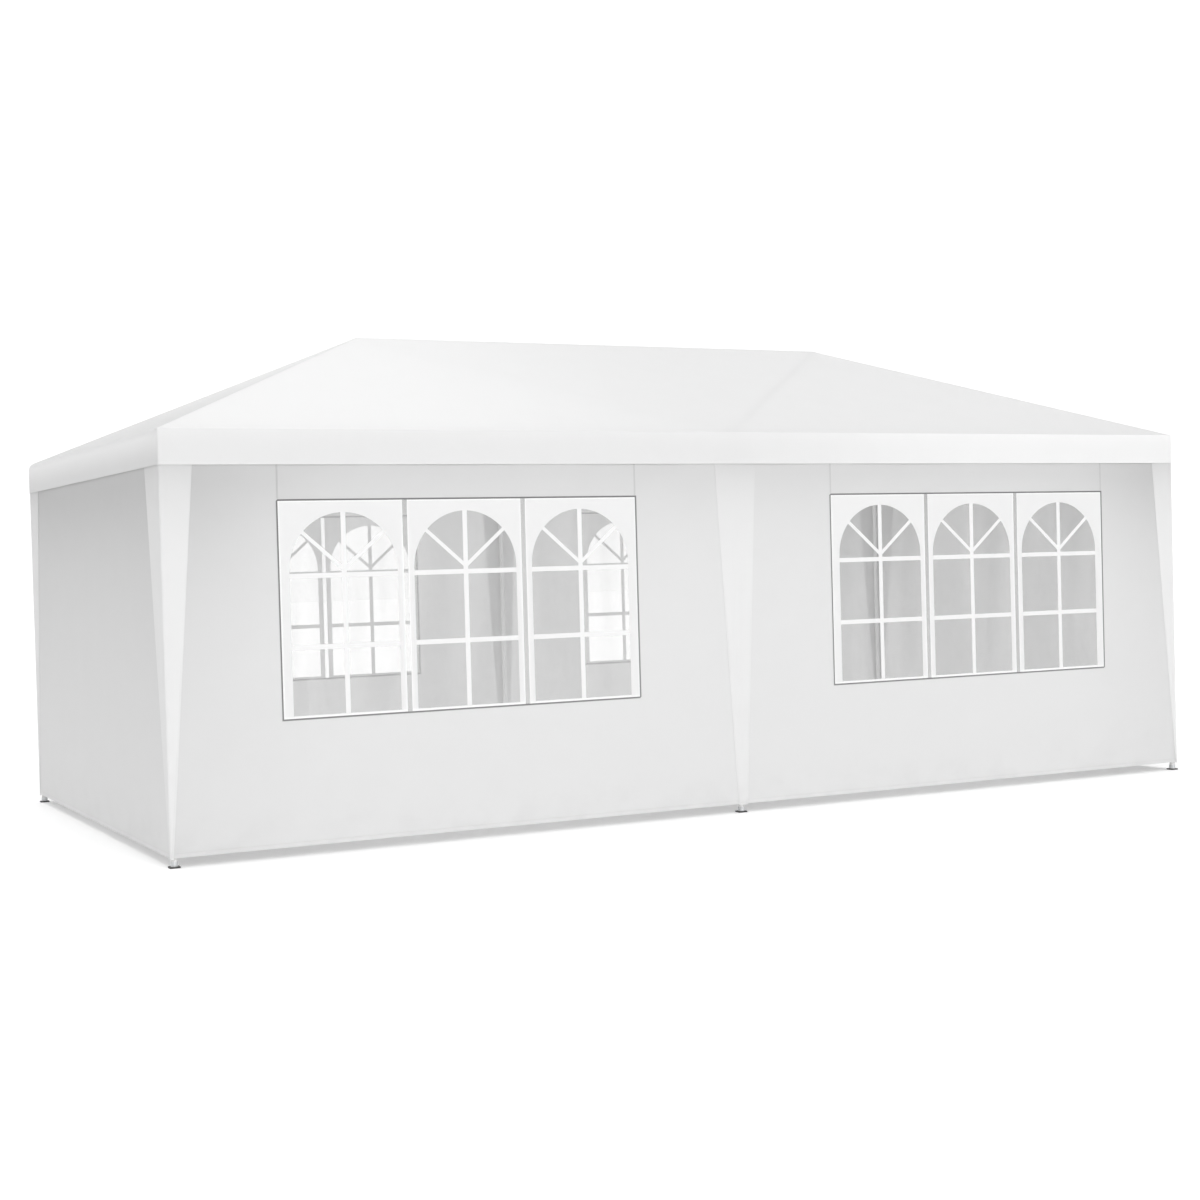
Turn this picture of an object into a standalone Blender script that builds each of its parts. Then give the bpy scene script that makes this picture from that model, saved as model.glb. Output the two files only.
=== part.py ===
"""A party tent of three by six metres, as it stands on level ground.

Six steel legs on foot plates carry a frame of steel tubes. Each bay of three by three metres
has four rafters that rise to a peak, and one ridge tube joins the two peaks. A single cover
with a valance lies over the frame, a tapered drape hangs down each leg, and six wall sheets
hang between the legs. The four wall sheets of the long sides have a clear window each, with
three arched lights printed on it in white.

X runs along the tent, Y from front to back and Z up. The origin is on the ground, under the
middle of the ridge. Lengths are in metres.
"""

import math

import bmesh
import bpy
from mathutils import Vector

# Driving dimensions of the tent
LENGTH = 6.0
WIDTH = 3.0
EAVE_HEIGHT = 1.97
RIDGE_HEIGHT = 2.586
VALANCE_DROP = 0.163
HEM_HEIGHT = 0.045

# Thickness of the sheets, which are drawn thicker than the real cloth, and the gap between pieces
COVER_SHEET = 0.002
DRAPE_SHEET = 0.002
WALL_SHEET = 0.002
CLEAR_SHEET = 0.0012
PRINT_SHEET = 0.0008
GAP = 0.0003

# Steel tubes and their joints
LEG_RADIUS = 0.015
LEG_UPPER_RADIUS = 0.0135
LEG_BEHIND_WALL = 0.0043
LEG_TOP = 1.84
LEG_JOIN_HEIGHT = 0.96
LEG_COLLAR_LENGTH = 0.05
LEG_COLLAR_TAPER = 0.004
TUBE_RADIUS = 0.014
TUBE_SIDES = 20
JOINT_BALL_RADIUS = 0.0145
JOINT_LEG_RADIUS = 0.013
JOINT_ARM_RADIUS = 0.0125
JOINT_ARM = 0.09

# Foot plates
FOOT_PLATE_SIDE = 0.050
FOOT_PLATE_THICKNESS = 0.006
FOOT_PLATE_CORNER = 0.007
FOOT_CORNER_STEPS = 3
FOOT_SOCKET_RADIUS = 0.0175
FOOT_SOCKET_HEIGHT = 0.022

# How far the rounded end eaves and the crisp long eaves are eased
END_EAVE_EASING = 0.02
LONG_EAVE_EASING = 0.006
EAVE_STEPS = 5

# Points closer than this are one point
MERGE_DISTANCE = 0.00001

# Edges that turn more than this stay sharp on a round piece
SHARP_ANGLE = math.radians(40.0)

# Drapes over the legs: how wide each half is under the valance and at its foot
DRAPE_FOOT_HEIGHT = 0.04
DRAPE_LONG_SIDE_TOP = 0.155
DRAPE_END_SIDE_TOP = 0.25
DRAPE_MIDDLE_TOP = 0.122
DRAPE_CORNER_FOOT = 0.016
DRAPE_MIDDLE_FOOT = 0.027
DRAPE_HEAD_BELOW_EAVE = 0.03

# Wall sheets and their windows
WALL_HEAD_BELOW_EAVE = 0.04
WALL_MIDDLE_GAP = 0.001
WINDOW_WIDTH = 1.86
WINDOW_FROM_MIDDLE = 1.52
WINDOW_BOTTOM = 0.635
WINDOW_TOP = 1.64

# The pattern printed on each window
LIGHT_COUNT = 3
CLEAR_STRIP_WIDTH = 0.024
SIDE_TAPE_WIDTH = 0.018
FOOT_TAPE_WIDTH = 0.012
ARCH_RADIUS = 0.266
ARCH_CROWN_BELOW_TOP = 0.055
UPPER_BAR_BELOW_CROWN = 0.2925
LOWER_BAR_HEIGHT = 0.961
CROSS_BAR_WIDTH = 0.023
UPRIGHT_BAR_WIDTH = 0.024
RAY_BAR_WIDTH = 0.018
RAY_ANGLE = math.radians(41.0)
ARC_POINTS = 6

# Sizes worked out from the driving dimensions
ARCH_CROWN = WINDOW_TOP - ARCH_CROWN_BELOW_TOP
ARCH_HUB = ARCH_CROWN - ARCH_RADIUS
UPPER_BAR_HEIGHT = ARCH_CROWN - UPPER_BAR_BELOW_CROWN
HALF_LENGTH = LENGTH / 2
HALF_WIDTH = WIDTH / 2
PEAK_X = HALF_LENGTH - HALF_WIDTH
ROOF_SLOPE = (RIDGE_HEIGHT - EAVE_HEIGHT) / HALF_WIDTH
SLOPE_COSINE = 1.0 / math.sqrt(1.0 + ROOF_SLOPE**2)
DRAPE_INSET = COVER_SHEET + GAP
DRAPE_HEAD = EAVE_HEIGHT - DRAPE_HEAD_BELOW_EAVE
WALL_INSET = DRAPE_INSET + DRAPE_SHEET + GAP
LEG_INSET = WALL_INSET + WALL_SHEET + LEG_BEHIND_WALL + LEG_RADIUS
LEG_X = HALF_LENGTH - LEG_INSET
LEG_Y = HALF_WIDTH - LEG_INSET
FRAME_DROP = (COVER_SHEET + GAP + JOINT_BALL_RADIUS) / SLOPE_COSINE
EAVE_AXIS_HEIGHT = EAVE_HEIGHT + ROOF_SLOPE * LEG_INSET - FRAME_DROP
RIDGE_AXIS_HEIGHT = RIDGE_HEIGHT - FRAME_DROP
VALANCE_FOOT = EAVE_HEIGHT - VALANCE_DROP

LEFT, MIDDLE, RIGHT = "left", "middle", "right"
LEG_COLUMNS = {LEFT: -LEG_X, MIDDLE: 0.0, RIGHT: LEG_X}
SIDES = {"front": -1, "back": 1}
ENDS = {LEFT: -1, RIGHT: 1}


def clear_scene():
    """Removes every object, so that the tent stands alone."""
    for old in list(bpy.data.objects):
        bpy.data.objects.remove(old)


def make_material(name, color, roughness, metallic=0.0, alpha=1.0):
    """A plain finish with the colour that the piece has in the photograph."""
    material = bpy.data.materials.new(name)
    material.use_nodes = True
    shader = material.node_tree.nodes["Principled BSDF"]
    shader.inputs["Base Color"].default_value = (*color, 1.0)
    shader.inputs["Roughness"].default_value = roughness
    shader.inputs["Metallic"].default_value = metallic
    shader.inputs["Alpha"].default_value = alpha
    return material


def add_object(name, data, material):
    """Links an object that holds this mesh or curve, with one finish."""
    data.materials.append(material)
    made = bpy.data.objects.new(name, data)
    bpy.context.scene.collection.objects.link(made)
    return made


def mesh_of(name, shape):
    """Turns a bmesh into a mesh whose faces point outwards."""
    bmesh.ops.recalc_face_normals(shape, faces=shape.faces)
    mesh = bpy.data.meshes.new(name)
    shape.to_mesh(mesh)
    shape.free()
    return mesh


def add_rod(shape, start, end, radius):
    """Adds a round bar between two points to a bmesh."""
    run = end - start
    placed = run.to_track_quat("Z", "Y").to_matrix().to_4x4()
    placed.translation = (start + end) / 2
    bmesh.ops.create_cone(
        shape,
        cap_ends=True,
        segments=TUBE_SIDES,
        radius1=radius,
        radius2=radius,
        depth=run.length,
        matrix=placed,
    )


def join_with_tool(target, tool, operation):
    """Adds the tool's shape to the target or cuts it away, and hides the tool."""
    tool.hide_render = True
    tool.display_type = "WIRE"
    change = target.modifiers.new(tool.name, "BOOLEAN")
    change.operation = operation
    change.object = tool
    change.solver = "EXACT"


def shade_round(mesh):
    """Shades a round piece smooth and keeps its rims sharp."""
    mesh.shade_smooth()
    mesh.set_sharp_from_angle(angle=SHARP_ANGLE)


def make_tube(name, start, end, material):
    """A straight tube from one joint to the next, lying along its object's Z axis."""
    run = end - start
    half = Vector((0.0, 0.0, run.length / 2))
    shape = bmesh.new()
    add_rod(shape, -half, half, TUBE_RADIUS)
    mesh = mesh_of(name, shape)
    shade_round(mesh)
    tube = add_object(name, mesh, material)
    tube.location = (start + end) / 2
    tube.rotation_mode = "QUATERNION"
    tube.rotation_quaternion = run.to_track_quat("Z", "Y")
    return tube


def make_turned(name, profile, material):
    """A round solid about its object's Z axis, spun from (radius, height) points."""
    shape = bmesh.new()
    points = [shape.verts.new((radius, 0.0, height)) for radius, height in profile]
    edges = [shape.edges.new(pair) for pair in zip(points, points[1:])]
    bmesh.ops.spin(
        shape,
        geom=[*points, *edges],
        cent=(0.0, 0.0, 0.0),
        axis=(0.0, 0.0, 1.0),
        angle=math.tau,
        steps=TUBE_SIDES,
    )
    bmesh.ops.remove_doubles(shape, verts=shape.verts, dist=MERGE_DISTANCE)
    mesh = mesh_of(name, shape)
    shade_round(mesh)
    return add_object(name, mesh, material)


def make_flat_sheet(name, loops, thickness, centre, turned, material):
    """A flat upright sheet. The first loop of (along, height) points is its outline and the
    others are holes. Its plane is X by Z, or Y by Z where it is turned to close an end."""
    curve = bpy.data.curves.new(name, "CURVE")
    curve.dimensions = "2D"
    curve.fill_mode = "BOTH"
    curve.extrude = thickness / 2
    for loop in loops:
        spline = curve.splines.new("POLY")
        spline.points.add(len(loop) - 1)
        for point, (along, height) in zip(spline.points, loop):
            point.co = (along, height, 0.0, 1.0)
        spline.use_cyclic_u = True
    sheet = add_object(name, curve, material)
    sheet.rotation_euler = (math.pi / 2, 0.0, math.pi / 2 if turned else 0.0)
    sheet.location = centre
    return sheet


def rectangle(low_along, high_along, low_height, high_height):
    """The four corners of an upright rectangle, in order."""
    return [
        (low_along, low_height),
        (high_along, low_height),
        (high_along, high_height),
        (low_along, high_height),
    ]


def leg_places():
    """Yields the name of each leg's place and where its axis meets the ground."""
    for side, y_sign in SIDES.items():
        for column, x in LEG_COLUMNS.items():
            yield f"{side}_{column}", Vector((x, y_sign * LEG_Y, 0.0))


def eave_node(side, column):
    """Where the axes of the leg, the eave tubes and the rafters cross."""
    return Vector((LEG_COLUMNS[column], SIDES[side] * LEG_Y, EAVE_AXIS_HEIGHT))


def peak_node(end):
    """Where the axes of the ridge tube and the four rafters of one bay cross."""
    return Vector((ENDS[end] * PEAK_X, 0.0, RIDGE_AXIS_HEIGHT))


def make_foot(place, spot, material):
    """A steel plate that lies on the ground, with a socket for the leg standing on it."""
    name = f"foot_{place}"
    shape = bmesh.new()
    bmesh.ops.create_cube(shape, size=1.0)
    sides = (FOOT_PLATE_SIDE, FOOT_PLATE_SIDE, FOOT_PLATE_THICKNESS)
    bmesh.ops.scale(shape, verts=shape.verts, vec=sides)
    bmesh.ops.translate(shape, verts=shape.verts, vec=(0.0, 0.0, FOOT_PLATE_THICKNESS / 2))
    upright = [e for e in shape.edges if abs(e.verts[0].co.z - e.verts[1].co.z) > GAP]
    bmesh.ops.bevel(
        shape,
        geom=upright,
        offset=FOOT_PLATE_CORNER,
        segments=FOOT_CORNER_STEPS,
        profile=0.5,
        affect="EDGES",
    )
    foot = add_object(name, mesh_of(name, shape), material)
    foot.location = spot

    rim = FOOT_PLATE_THICKNESS + FOOT_SOCKET_HEIGHT
    tools = (
        ("socket", "UNION", FOOT_PLATE_THICKNESS / 2, rim, FOOT_SOCKET_RADIUS),
        ("seat", "DIFFERENCE", FOOT_PLATE_THICKNESS, 2 * rim, LEG_RADIUS + GAP),
    )
    for label, operation, bottom, top, radius in tools:
        tool_shape = bmesh.new()
        add_rod(tool_shape, Vector((0.0, 0.0, bottom)), Vector((0.0, 0.0, top)), radius)
        tool = add_object(f"{label}_{place}", mesh_of(label, tool_shape), material)
        tool.location = spot
        join_with_tool(foot, tool, operation)
    return foot


def make_leg(place, spot, material):
    """A leg of two tubes: the thinner upper one is pushed into the collar of the lower one."""
    bottom = FOOT_PLATE_THICKNESS + GAP
    collar_top = LEG_JOIN_HEIGHT + LEG_COLLAR_LENGTH
    profile = (
        (0.0, bottom),
        (LEG_RADIUS, bottom),
        (LEG_RADIUS, collar_top),
        (LEG_UPPER_RADIUS, collar_top + LEG_COLLAR_TAPER),
        (LEG_UPPER_RADIUS, LEG_TOP),
        (0.0, LEG_TOP),
    )
    leg = make_turned(f"leg_{place}", profile, material)
    leg.location = spot
    return leg


def make_joint(name, centre, arms, material):
    """A welded joint: short arms of (direction, length, radius) that meet in a ball."""
    ball = bmesh.new()
    bmesh.ops.create_icosphere(ball, subdivisions=2, radius=JOINT_BALL_RADIUS)
    joint = add_object(name, mesh_of(name, ball), material)
    joint.location = centre
    for number, (direction, length, radius) in enumerate(arms):
        label = f"{name}_arm_{number}"
        arm_shape = bmesh.new()
        add_rod(arm_shape, Vector((0.0, 0.0, 0.0)), direction.normalized() * length, radius)
        arm = add_object(label, mesh_of(label, arm_shape), material)
        arm.location = centre
        join_with_tool(joint, arm, "UNION")
    return joint


def leg_arm():
    """The arm that stands in a leg's head."""
    return (Vector((0.0, 0.0, -1.0)), EAVE_AXIS_HEIGHT - LEG_TOP - GAP, JOINT_LEG_RADIUS)


def tube_arm(direction):
    """An arm that a tube is pushed onto."""
    return (direction, JOINT_ARM, JOINT_ARM_RADIUS)


def make_joints(material):
    """The four corner joints, the two on the middle legs and the two at the peaks."""
    for side, y_sign in SIDES.items():
        for end, x_sign in ENDS.items():
            node = eave_node(side, end)
            arms = [
                leg_arm(),
                tube_arm(Vector((-x_sign, 0.0, 0.0))),
                tube_arm(Vector((0.0, -y_sign, 0.0))),
                tube_arm(peak_node(end) - node),
            ]
            make_joint(f"corner_joint_{side}_{end}", node, arms, material)
        node = eave_node(side, MIDDLE)
        arms = [leg_arm()]
        for end, x_sign in ENDS.items():
            arms.append(tube_arm(Vector((x_sign, 0.0, 0.0))))
            arms.append(tube_arm(peak_node(end) - node))
        make_joint(f"middle_joint_{side}", node, arms, material)
    for end, x_sign in ENDS.items():
        node = peak_node(end)
        arms = [tube_arm(Vector((-x_sign, 0.0, 0.0)))]
        for side in SIDES:
            arms.append(tube_arm(eave_node(side, end) - node))
            arms.append(tube_arm(eave_node(side, MIDDLE) - node))
        make_joint(f"peak_joint_{end}", node, arms, material)


def make_span(name, start_node, end_node, material):
    """A tube between two joints, which ends where their arms begin."""
    inset = (end_node - start_node).normalized() * (JOINT_ARM + GAP)
    return make_tube(name, start_node + inset, end_node - inset, material)


def make_tubes(material):
    """The eave tubes, the rafters and the ridge tube."""
    for side in SIDES:
        for end in ENDS:
            corner, middle, peak = eave_node(side, end), eave_node(side, MIDDLE), peak_node(end)
            make_span(f"eave_tube_{side}_{end}", corner, middle, material)
            make_span(f"hip_rafter_{side}_{end}", corner, peak, material)
            make_span(f"middle_rafter_{side}_{end}", middle, peak, material)
    for end in ENDS:
        make_span(f"eave_tube_{end}_end", eave_node("front", end), eave_node("back", end), material)
    make_span("ridge_tube", peak_node(LEFT), peak_node(RIGHT), material)


def make_roof_cover(material):
    """The cover: two long slopes, two end slopes and the valance, as one sheet."""
    shape = bmesh.new()

    def corner_ring(height):
        corners = ((-1, -1), (1, -1), (1, 1), (-1, 1))
        return [shape.verts.new((x * HALF_LENGTH, y * HALF_WIDTH, height)) for x, y in corners]

    foot, eave = corner_ring(VALANCE_FOOT), corner_ring(EAVE_HEIGHT)
    left_peak = shape.verts.new((-PEAK_X, 0.0, RIDGE_HEIGHT))
    right_peak = shape.verts.new((PEAK_X, 0.0, RIDGE_HEIGHT))
    front_left, front_right, back_right, back_left = eave
    shape.faces.new((front_left, front_right, right_peak, left_peak))
    shape.faces.new((front_right, back_right, right_peak))
    shape.faces.new((back_right, back_left, left_peak, right_peak))
    shape.faces.new((back_left, front_left, left_peak))
    for number in range(4):
        after = (number + 1) % 4
        shape.faces.new((foot[number], foot[after], eave[after], eave[number]))
    weights = shape.edges.layers.float.new("bevel_weight_edge")
    for edge in shape.edges:
        if all(vert in eave for vert in edge.verts):
            along_y = abs(edge.verts[0].co.x - edge.verts[1].co.x) < GAP
            edge[weights] = 1.0 if along_y else LONG_EAVE_EASING / END_EAVE_EASING
    cover = add_object("roof_cover", mesh_of("roof_cover", shape), material)
    ease = cover.modifiers.new("eased_eaves", "BEVEL")
    ease.limit_method = "WEIGHT"
    ease.width = END_EAVE_EASING
    ease.segments = EAVE_STEPS
    ease.miter_outer = "MITER_SHARP"
    thicken = cover.modifiers.new("sheet", "SOLIDIFY")
    thicken.thickness = COVER_SHEET
    thicken.offset = -1.0
    thicken.use_even_offset = True
    return cover


def drape_head_width(foot_width, valance_width):
    """How wide a drape is at its head, behind the valance, as its edge runs on straight from
    its width at its foot through its width where it comes out under the valance."""
    rise_share = (DRAPE_HEAD - DRAPE_FOOT_HEIGHT) / (VALANCE_FOOT - DRAPE_FOOT_HEIGHT)
    return foot_width + (valance_width - foot_width) * rise_share


def drape_section(half_long, half_end, outer_x, outer_y):
    """The L of a corner drape seen from above, from its edge on the long side to its edge on
    the end, for a corner in the quarter where X and Y are positive."""
    inner_x, inner_y = outer_x - DRAPE_SHEET, outer_y - DRAPE_SHEET
    return [
        (outer_x - half_long, outer_y),
        (outer_x - half_long, inner_y),
        (inner_x, inner_y),
        (inner_x, outer_y - half_end),
        (outer_x, outer_y - half_end),
        (outer_x, outer_y),
    ]


def make_corner_drape(side, end, material):
    """A drape folded round a corner leg, which tapers evenly from the eave to its foot."""
    outer_x, outer_y = HALF_LENGTH - DRAPE_INSET, HALF_WIDTH - DRAPE_INSET
    head_long = drape_head_width(DRAPE_CORNER_FOOT, DRAPE_LONG_SIDE_TOP)
    head_end = drape_head_width(DRAPE_CORNER_FOOT, DRAPE_END_SIDE_TOP)
    levels = (
        (DRAPE_FOOT_HEIGHT, DRAPE_CORNER_FOOT, DRAPE_CORNER_FOOT),
        (DRAPE_HEAD, head_long, head_end),
    )
    shape = bmesh.new()
    rings = []
    for height, half_long, half_end in levels:
        section = drape_section(half_long, half_end, outer_x, outer_y)
        signed = [(ENDS[end] * x, SIDES[side] * y, height) for x, y in section]
        rings.append([shape.verts.new(point) for point in signed])
    lower, upper = rings
    shape.faces.new(lower)
    shape.faces.new(upper)
    for number in range(len(lower)):
        after = (number + 1) % len(lower)
        shape.faces.new((lower[number], lower[after], upper[after], upper[number]))
    name = f"leg_drape_{side}_{end}"
    return add_object(name, mesh_of(name, shape), material)


def make_middle_drape(side, material):
    """A flat drape in front of a middle leg."""
    half_head = drape_head_width(DRAPE_MIDDLE_FOOT, DRAPE_MIDDLE_TOP)
    outline = [
        (-DRAPE_MIDDLE_FOOT, DRAPE_FOOT_HEIGHT),
        (DRAPE_MIDDLE_FOOT, DRAPE_FOOT_HEIGHT),
        (half_head, DRAPE_HEAD),
        (-half_head, DRAPE_HEAD),
    ]
    centre = Vector((0.0, SIDES[side] * (HALF_WIDTH - DRAPE_INSET - DRAPE_SHEET / 2), 0.0))
    name = f"leg_drape_{side}_{MIDDLE}"
    return make_flat_sheet(name, [outline], DRAPE_SHEET, centre, False, material)


def window_middle(end):
    """Where the middle of a window lies along the tent."""
    return ENDS[end] * WINDOW_FROM_MIDDLE


def window_outline(end, inset=0.0):
    """The rectangle of one window, made smaller all round by the inset."""
    middle, half = window_middle(end), WINDOW_WIDTH / 2 - inset
    return rectangle(middle - half, middle + half, WINDOW_BOTTOM + inset, WINDOW_TOP - inset)


def make_walls(material):
    """The four long side sheets, with their window openings, and the two plain end sheets."""
    head = EAVE_HEIGHT - WALL_HEAD_BELOW_EAVE
    outer_x = HALF_LENGTH - WALL_INSET
    for side, y_sign in SIDES.items():
        centre = Vector((0.0, y_sign * (HALF_WIDTH - WALL_INSET - WALL_SHEET / 2), 0.0))
        for end, x_sign in ENDS.items():
            near, far = sorted((x_sign * WALL_MIDDLE_GAP / 2, x_sign * outer_x))
            loops = [rectangle(near, far, HEM_HEIGHT, head), window_outline(end)]
            make_flat_sheet(f"wall_{side}_{end}", loops, WALL_SHEET, centre, False, material)
    half_end = HALF_WIDTH - WALL_INSET - WALL_SHEET - GAP
    for end, x_sign in ENDS.items():
        loops = [rectangle(-half_end, half_end, HEM_HEIGHT, head)]
        centre = Vector((x_sign * (outer_x - WALL_SHEET / 2), 0.0, 0.0))
        make_flat_sheet(f"wall_{end}_end", loops, WALL_SHEET, centre, True, material)


def arch_points(from_angle, to_angle):
    """Points along an arched light's rim, as (offset from its middle, height)."""
    step = (to_angle - from_angle) / (ARC_POINTS - 1)
    angles = [from_angle + number * step for number in range(ARC_POINTS)]
    return [(ARCH_RADIUS * math.cos(a), ARCH_HUB + ARCH_RADIUS * math.sin(a)) for a in angles]


def half_light_panes():
    """The four panes on one side of a light's upright bar, as (offset, height) outlines: the
    lower and the upper part of the fan, which a slanted bar parts, and two below them."""
    near, far = UPRIGHT_BAR_WIDTH / 2, ARCH_RADIUS
    fan_foot = UPPER_BAR_HEIGHT + CROSS_BAR_WIDTH / 2
    ray_middle = ARCH_HUB + near * math.tan(RAY_ANGLE)
    ray_half = RAY_BAR_WIDTH / 2 / math.cos(RAY_ANGLE)
    ray_half_angle = math.asin(RAY_BAR_WIDTH / 2 / ARCH_RADIUS)
    lower_fan = [(near, fan_foot), (far, fan_foot)]
    lower_fan.extend(arch_points(0.0, RAY_ANGLE - ray_half_angle))
    lower_fan.append((near, ray_middle - ray_half))
    upper_fan = [(near, ray_middle + ray_half)]
    upper_fan.extend(arch_points(RAY_ANGLE + ray_half_angle, math.acos(near / far)))
    middle_foot = LOWER_BAR_HEIGHT + CROSS_BAR_WIDTH / 2
    middle_head = UPPER_BAR_HEIGHT - CROSS_BAR_WIDTH / 2
    bottom_head = LOWER_BAR_HEIGHT - CROSS_BAR_WIDTH / 2
    return [
        lower_fan,
        upper_fan,
        rectangle(near, far, middle_foot, middle_head),
        rectangle(near, far, WINDOW_BOTTOM + FOOT_TAPE_WIDTH, bottom_head),
    ]


def print_loops(end):
    """The outline of a window's print, its clear strips and its panes."""
    middle = window_middle(end)
    pitch = (WINDOW_WIDTH - 2 * SIDE_TAPE_WIDTH + CLEAR_STRIP_WIDTH) / LIGHT_COUNT
    loops = [window_outline(end, GAP)]
    for number in range(LIGHT_COUNT):
        centre = middle + (number - (LIGHT_COUNT - 1) / 2) * pitch
        for pane in half_light_panes():
            loops.append([(centre + offset, height) for offset, height in pane])
            loops.append([(centre - offset, height) for offset, height in pane])
    for number in range(LIGHT_COUNT - 1):
        strip = middle + (number + 1 - LIGHT_COUNT / 2) * pitch
        half = CLEAR_STRIP_WIDTH / 2
        low, high = WINDOW_BOTTOM + FOOT_TAPE_WIDTH, WINDOW_TOP - FOOT_TAPE_WIDTH
        loops.append(rectangle(strip - half, strip + half, low, high))
    return loops


def make_windows(clear, white):
    """A clear sheet in each window opening, with the white print on its outer face."""
    sheet_out = HALF_WIDTH - WALL_INSET - (WALL_SHEET - CLEAR_SHEET) / 2
    for side, y_sign in SIDES.items():
        film = Vector((0.0, y_sign * (sheet_out - CLEAR_SHEET / 2), 0.0))
        ink = Vector((0.0, y_sign * (sheet_out + GAP + PRINT_SHEET / 2), 0.0))
        for end in ENDS:
            pane, pattern = f"window_sheet_{side}_{end}", f"window_print_{side}_{end}"
            make_flat_sheet(pane, [window_outline(end, GAP)], CLEAR_SHEET, film, False, clear)
            make_flat_sheet(pattern, print_loops(end), PRINT_SHEET, ink, False, white)


def main():
    clear_scene()
    cover_white = make_material("cover_white", (0.87, 0.87, 0.87), 0.55)
    wall_white = make_material("wall_white", (0.82, 0.82, 0.82), 0.6)
    print_white = make_material("print_white", (0.9, 0.9, 0.9), 0.4)
    clear_film = make_material("clear_film", (0.75, 0.77, 0.78), 0.12, alpha=0.35)
    frame_white = make_material("frame_white", (0.8, 0.8, 0.8), 0.4)
    foot_steel = make_material("foot_steel", (0.42, 0.42, 0.43), 0.4, metallic=1.0)

    for place, spot in leg_places():
        make_foot(place, spot, foot_steel)
        make_leg(place, spot, frame_white)
    make_joints(frame_white)
    make_tubes(frame_white)
    make_roof_cover(cover_white)
    for side in SIDES:
        for end in ENDS:
            make_corner_drape(side, end, cover_white)
        make_middle_drape(side, cover_white)
    make_walls(wall_white)
    make_windows(clear_film, print_white)


main()
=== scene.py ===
# %% [markdown]
# # A party tent of three by six metres
#
# The tent is a frame of white steel tubes under woven plastic cloth. The frame is already
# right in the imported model, so it stays and only gets its finishes here. Everything that is
# cloth, clear sheet or print on the real tent is drawn again as a thin soft sheet that stands
# for its plain solid.

# %% Load the frame
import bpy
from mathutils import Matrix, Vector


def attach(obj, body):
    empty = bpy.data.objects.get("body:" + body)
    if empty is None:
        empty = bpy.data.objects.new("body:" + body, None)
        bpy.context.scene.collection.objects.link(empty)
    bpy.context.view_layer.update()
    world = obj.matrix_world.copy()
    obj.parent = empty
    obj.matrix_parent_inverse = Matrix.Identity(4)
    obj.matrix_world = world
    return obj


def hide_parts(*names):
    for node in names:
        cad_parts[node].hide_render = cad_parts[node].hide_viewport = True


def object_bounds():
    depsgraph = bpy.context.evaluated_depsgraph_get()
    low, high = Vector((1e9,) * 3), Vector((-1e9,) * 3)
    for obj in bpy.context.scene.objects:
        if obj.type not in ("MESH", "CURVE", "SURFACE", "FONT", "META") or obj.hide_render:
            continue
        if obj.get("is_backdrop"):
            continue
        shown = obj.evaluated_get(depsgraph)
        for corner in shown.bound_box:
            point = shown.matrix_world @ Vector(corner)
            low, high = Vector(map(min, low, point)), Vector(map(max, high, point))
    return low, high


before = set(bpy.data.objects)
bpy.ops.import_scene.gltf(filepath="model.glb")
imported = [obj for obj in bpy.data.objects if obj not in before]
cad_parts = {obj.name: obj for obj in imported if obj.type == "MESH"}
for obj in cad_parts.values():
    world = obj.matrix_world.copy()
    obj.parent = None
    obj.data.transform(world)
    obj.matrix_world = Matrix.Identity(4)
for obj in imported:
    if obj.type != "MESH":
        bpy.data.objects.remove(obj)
solid_box = [list(corner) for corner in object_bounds()]

import math

import bpy
import numpy as np
from mathutils import Matrix, Vector

print("solid model:", [[round(value, 4) for value in corner] for corner in solid_box])

# %% [markdown]
# ## Sizes
#
# A soft sheet has to lie where its solid lies, so the sizes are those of the solid model. Its
# length, width and height are read from its box. The cover is outermost, a leg drape lies
# inside it and a wall inside the drape. Each lies a hair behind the one before, as layers of
# real cloth do, and none of them touch.

# %% Sizes of the tent, in metres
HALF_LENGTH, HALF_WIDTH, RIDGE_HEIGHT = (round(value, 4) for value in solid_box[1])
EAVE_HEIGHT = 1.97
VALANCE_FOOT = 1.807
HEM_HEIGHT = 0.045
PEAK_X = HALF_LENGTH - HALF_WIDTH
DRAPE_INSET = 0.0025
WALL_INSET = 0.0048
CLOTH_THICKNESS = 0.0008

# %% [markdown]
# ## Camera
#
# The tent is seen from the front and a little from its left end, from chest height. The
# camera's place, its three turns and its lens were worked out from the corners of the tent,
# so that the eaves and hems run together towards the same points as the real ones do. A
# camera can be aimed with a constraint or with a matrix. A matrix is used, because it also
# holds the slight roll.

# %% Place the camera
CAMERA_PLACE = Vector((-5.139, -9.966, 1.332))
YAW, PITCH, ROLL = (math.radians(angle) for angle in (27.11, -1.22, -1.56))
ahead = Vector((math.sin(YAW) * math.cos(PITCH), math.cos(YAW) * math.cos(PITCH), math.sin(PITCH)))
level = Vector((math.cos(YAW), -math.sin(YAW), 0.0))
upright = level.cross(ahead)
across = math.cos(ROLL) * level + math.sin(ROLL) * upright
above = math.cos(ROLL) * upright - math.sin(ROLL) * level

camera_data = bpy.data.cameras.new("camera")
camera_data.lens = 57.29
camera_data.sensor_width = 36.0
camera_data.clip_end = 300.0
camera = bpy.data.objects.new("camera", camera_data)
camera.matrix_world = Matrix((across, above, -ahead)).transposed().to_4x4()
camera.location = CAMERA_PLACE
bpy.context.scene.collection.objects.link(camera)
bpy.context.scene.camera = camera
print(f"camera stands {CAMERA_PLACE.xy.length:.2f} m away")
print(f"camera looks {math.degrees(YAW):.1f} degrees right")

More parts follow.
